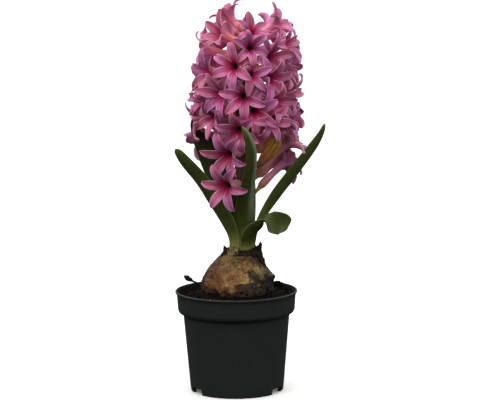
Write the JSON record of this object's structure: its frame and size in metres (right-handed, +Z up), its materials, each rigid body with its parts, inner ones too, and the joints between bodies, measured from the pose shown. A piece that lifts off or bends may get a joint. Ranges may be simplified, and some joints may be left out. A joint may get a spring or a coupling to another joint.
{
  "type": "potted hyacinth",
  "caption": "Hyacinth in flower, growing from its bulb in a small round nursery pot filled with soil.",
  "frame": {"origin": "on the ground under the middle of the pot", "axes": "+Z up along the pot's axis, -Y is the front of the plant, +X is its right as seen from the front"},
  "size_m": [0.1119, 0.0915, 0.2888],
  "materials": {
    "pot_plastic": "moulded, satin, dusty",
    "potting_soil": "crumbly, moist, matte",
    "bulb_tunic": "dry papery skin, matte",
    "tunic_scrap_dark": "dry papery skin, matte",
    "tunic_scrap_pale": "dry papery skin, matte",
    "flower_stem": "fleshy, waxy satin",
    "leaf_green": "fleshy, waxy satin",
    "petal_pink": "soft, velvety, slightly waxy",
    "bud_green": "fleshy, satin",
    "petal_withered": "dry, papery, matte",
    "twig_bark": "rough bark, matte"
  },
  "bodies": {
    "root": {"pot": "pot_plastic", "soil": "potting_soil", "bulb": "bulb_tunic", "tunic_scrap_left": "tunic_scrap_dark", "tunic_scrap_front": "tunic_scrap_pale", "tunic_scrap_right": "tunic_scrap_dark", "flower_stem": "flower_stem", "leaf_left": "leaf_green", "leaf_back_left": "leaf_green", "leaf_front": "leaf_green", "leaf_right": "leaf_green", "leaf_back": "leaf_green", "leaf_curled": "leaf_green", "floret_withered": "petal_withered", "bud_top": "bud_green", "twig": "twig_bark", "floret_01": "petal_pink", "floret_02": "petal_pink", "floret_03": "petal_pink", "floret_04": "petal_pink", "floret_05": "petal_pink", "floret_06": "petal_pink", "floret_07": "petal_pink", "floret_08": "petal_pink", "floret_09": "petal_pink", "floret_10": "petal_pink", "floret_11": "petal_pink", "floret_12": "petal_pink", "floret_13": "petal_pink", "floret_14": "petal_pink", "floret_15": "petal_pink", "floret_16": "petal_pink", "floret_17": "petal_pink", "floret_18": "petal_pink", "floret_19": "petal_pink", "floret_20": "petal_pink", "floret_21": "petal_pink", "floret_22": "petal_pink", "floret_23": "petal_pink", "floret_24": "petal_pink", "floret_25": "petal_pink", "floret_26": "petal_pink", "floret_27": "petal_pink", "floret_28": "petal_pink", "floret_29": "petal_pink", "floret_30": "petal_pink", "floret_31": "petal_pink", "floret_32": "petal_pink", "floret_33": "petal_pink", "floret_34": "petal_pink", "floret_35": "petal_pink", "floret_36": "petal_pink", "floret_37": "petal_pink", "floret_38": "petal_pink", "floret_39": "petal_pink", "floret_40": "petal_pink", "floret_41": "petal_pink", "floret_42": "petal_pink", "floret_43": "petal_pink", "floret_44": "petal_pink"}
  },
  "joints": []
}
